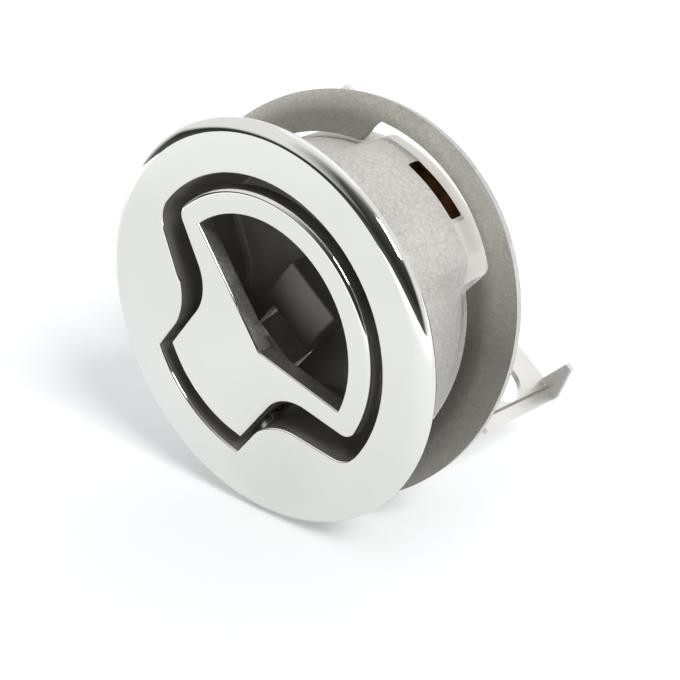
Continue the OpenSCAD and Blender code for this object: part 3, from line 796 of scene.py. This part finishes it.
pawl_hinge = (27.0, -4.3)
for name, node, turning, at, start, end, leg_a, leg_b in (
    ("handle_torsion_spring", "handle_spring", "handle", hinge, 290, 270, 3.2, 7.7),
    ("pawl_torsion_spring", "pawl_spring", "pawl", pawl_hinge, 110, 90, 2.6, 13.25),
):
    wound = 360 * coil_turns + end - start
    points = []
    for i in range(coil_steps + 1):
        turned = wound * i / coil_steps
        t = math.radians(start + turned)
        x = coil_x + coil_pitch * turned / 360
        points.append((x, at[0] + coil_r * math.cos(t), at[1] + coil_r * math.sin(t)))
    t, (x, y, z) = math.radians(start), points[0]
    points.insert(0, (x, y + leg_a * math.sin(t), z - leg_a * math.cos(t)))
    t, (x, y, z) = math.radians(end), points[-1]
    points.append((x, y - leg_b * math.sin(t), z + leg_b * math.cos(t)))
    line = bpy.data.meshes.new(name)
    line.from_pydata([[c * MM for c in p] for p in points], [(i, i + 1) for i in range(len(points) - 1)], [])
    spring = bpy.data.objects.new(name, line)
    scene.collection.objects.link(spring)
    grown(spring, wire_tree, {"Wire radius": wire_r * MM, "Finish": spring_wire})
    first_turn, last_turn = coil_x + wire_r, points[-1][0] - wire_r
    finished(spring, (turning, "cup", first_turn, last_turn), [node], 50.0)


# Pawl bracket: folded stainless sheet on the back of the cup's floor. Its two cheeks carry the
# pawl's pin, and its edges keep a small break from tumbling.
sheet_steel = metal(
    "satin_sheet_steel", marks, {"Line scale": 1600.0, "Smear scale": 70.0},
    (0.74, 0.73, 0.70), (0.84, 0.83, 0.80), ("Smear", 0.3, 0.7), ("Lines", 0.30, 0.40),
    "Lines", (0.06, 0.0002),
)


def cad_copy(name, node, finishes, ease):
    """A merged copy of a CAD node in the upright frame, with its edges eased."""
    bm = bmesh.new()
    bm.from_mesh(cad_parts[node].data)
    bmesh.ops.remove_doubles(bm, verts=bm.verts, dist=0.002 * MM)
    bmesh.ops.dissolve_limit(bm, angle_limit=math.radians(1), verts=bm.verts, edges=bm.edges)
    for f in bm.faces:
        f.material_index = 0
    obj = made(name, bm, finishes)
    obj.data.transform(lie.inverted())
    eased(obj, ease)
    return obj


bracket = cad_copy("pawl_bracket_sheet", "pawl_bracket", [sheet_steel], 0.15)
finished(bracket, "cup", ["pawl_bracket"])


# Bracket screws and lock washers: two pan-head screws with hexagon sockets, through the
# bracket into the cup's boss, each on a split spring washer.
pair_tree, pair_in, pair_out = geometry_tree(
    "pair_along_x", [("Half spacing", "NodeSocketFloat"), ("Finish", "NodeSocketMaterial")]
)
places = pair_tree.nodes.new("GeometryNodeMeshLine")
places.mode = "END_POINTS"
places.inputs["Count"].default_value = 2
left = pair_tree.nodes.new("ShaderNodeCombineXYZ")
right = pair_tree.nodes.new("ShaderNodeCombineXYZ")
minus_half = math_node(pair_tree, "MULTIPLY", pair_in.outputs["Half spacing"], -1.0)
pair_tree.links.new(minus_half, left.inputs["X"])
pair_tree.links.new(pair_in.outputs["Half spacing"], right.inputs["X"])
pair_tree.links.new(left.outputs[0], places.inputs["Start Location"])
pair_tree.links.new(right.outputs[0], places.inputs["Offset"])
copies = pair_tree.nodes.new("GeometryNodeInstanceOnPoints")
real = pair_tree.nodes.new("GeometryNodeRealizeInstances")
coat = pair_tree.nodes.new("GeometryNodeSetMaterial")
pair_tree.links.new(places.outputs["Mesh"], copies.inputs["Points"])
pair_tree.links.new(pair_in.outputs["Geometry"], copies.inputs["Instance"])
pair_tree.links.new(copies.outputs["Instances"], real.inputs["Geometry"])
pair_tree.links.new(real.outputs["Geometry"], coat.inputs["Geometry"])
pair_tree.links.new(pair_in.outputs["Finish"], coat.inputs["Material"])
pair_tree.links.new(coat.outputs["Geometry"], pair_out.inputs["Geometry"])

screw_seat, screw_middle = 15.2, (0.0, screw_z)
head_r, head_h, shank_r, shank_len, socket_r = 2.7, 1.9, 1.5, 8.4, 1.25
pin_look = [turned_steel]
screw = rod("bracket_screws", "Y", head_r, screw_seat, screw_seat + head_h, screw_middle, 0, pin_look, 48)
shank = rod("shank", "Y", shank_r, screw_seat - shank_len, screw_seat + 0.5, screw_middle, 0, pin_look, 48)
socket = rod("socket", "Y", socket_r, screw_seat + head_h / 2, screw_seat + 3, screw_middle, 0, pin_look, 6)
combine(screw, [(shank, "UNION"), (socket, "DIFFERENCE")])
eased(screw, 0.2)
grown(screw, pair_tree, {"Half spacing": screw_x * MM, "Finish": turned_steel})
finished(screw, "cup", ["bracket_screw_left", "bracket_screw_right"])

lock_r, lock_t, lock_bore_r, split_half = 2.8, 0.6, 1.6, 0.15
lock = rod("lock_washers", "Y", lock_r, screw_seat - lock_t, screw_seat, screw_middle, 0, pin_look, 48)
bore = rod("bore", "Y", lock_bore_r, screw_seat - 2, screw_seat + 2, screw_middle, 0, pin_look, 48)
split_low, split_high = (0, screw_seat - 2, screw_z - split_half), (5, screw_seat + 2, screw_z + split_half)
combine(lock, [(bore, "DIFFERENCE"), (block("split", split_low, split_high, 0, pin_look), "DIFFERENCE")])
eased(lock, 0.08)
grown(lock, pair_tree, {"Half spacing": screw_x * MM, "Finish": turned_steel})
finished(lock, "cup", ["lock_washer_left", "lock_washer_right"])


# Pawl: a wide stainless sheet with a hook tooth at each rear corner, folded ears on its pin
# and a release arm. The sheet is satin, and its sheared edges are rough and darker.
pawl = cad_copy("pawl_sheet", "pawl", [sheet_steel, sheared_and_highlight, cast_and_shade], 0.12)
PAINTED_SHADE = 2
score_floor, arm_rear, tooth_x, tooth_y = 0.25, 22, 28, 40
# The arm inside the cup and the floor of the score groove are painted dark as shade.
for f in pawl.data.polygons:
    x, y, z = [c / MM for c in f.center]
    if y < arm_rear or (f.normal[2] > 0.9 and abs(z - score_floor) < 0.05):
        f.material_index = PAINTED_SHADE
    elif abs(f.normal[0]) > 0.7 and abs(x) > tooth_x and y > tooth_y:
        f.material_index = SHEARED_AND_HIGHLIGHT
finished(pawl, "pawl", ["pawl"])


# Pawl pin, washers and clips: a turned pin through the bracket's cheeks and the pawl's ears,
# a flat washer beside each ear, and a spring clip in the groove at each end.
pawl_pin = cad_copy("pawl_hinge_pin", "pawl_pin", [turned_steel], 0.15)
finished(pawl_pin, "cup", ["pawl_pin"])

washer_r, washer_half, washer_bore_r, washer_x = 3.2, 0.4, 2.15, 8.9
washer = rod("pawl_washers", "X", washer_r, -washer_half, washer_half, pawl_hinge, 0, pin_look, 48)
combine(washer, [(rod("bore", "X", washer_bore_r, -2, 2, pawl_hinge, 0, pin_look, 48), "DIFFERENCE")])
eased(washer, 0.1)
grown(washer, pair_tree, {"Half spacing": washer_x * MM, "Finish": turned_steel})
finished(washer, "cup", ["pawl_washer_left", "pawl_washer_right"])

clip_r, clip_half, clip_bore_r, clip_x, mouth_half = 3.4, 0.35, 1.65, 11.1, 1.28
mouth_low = (-2, pawl_hinge[0] - mouth_half, -9.0)
mouth_high = (2, pawl_hinge[0] + mouth_half, pawl_hinge[1])
clip = rod("pawl_clips", "X", clip_r, -clip_half, clip_half, pawl_hinge, 0, pin_look, 48)
combine(clip, [
    (rod("bore", "X", clip_bore_r, -2, 2, pawl_hinge, 0, pin_look, 48), "DIFFERENCE"),
    (block("mouth", mouth_low, mouth_high, 0, pin_look), "DIFFERENCE"),
])
eased(clip, 0.1)
grown(clip, pair_tree, {"Half spacing": clip_x * MM, "Finish": turned_steel})
finished(clip, "cup", ["pawl_clip_left", "pawl_clip_right"])
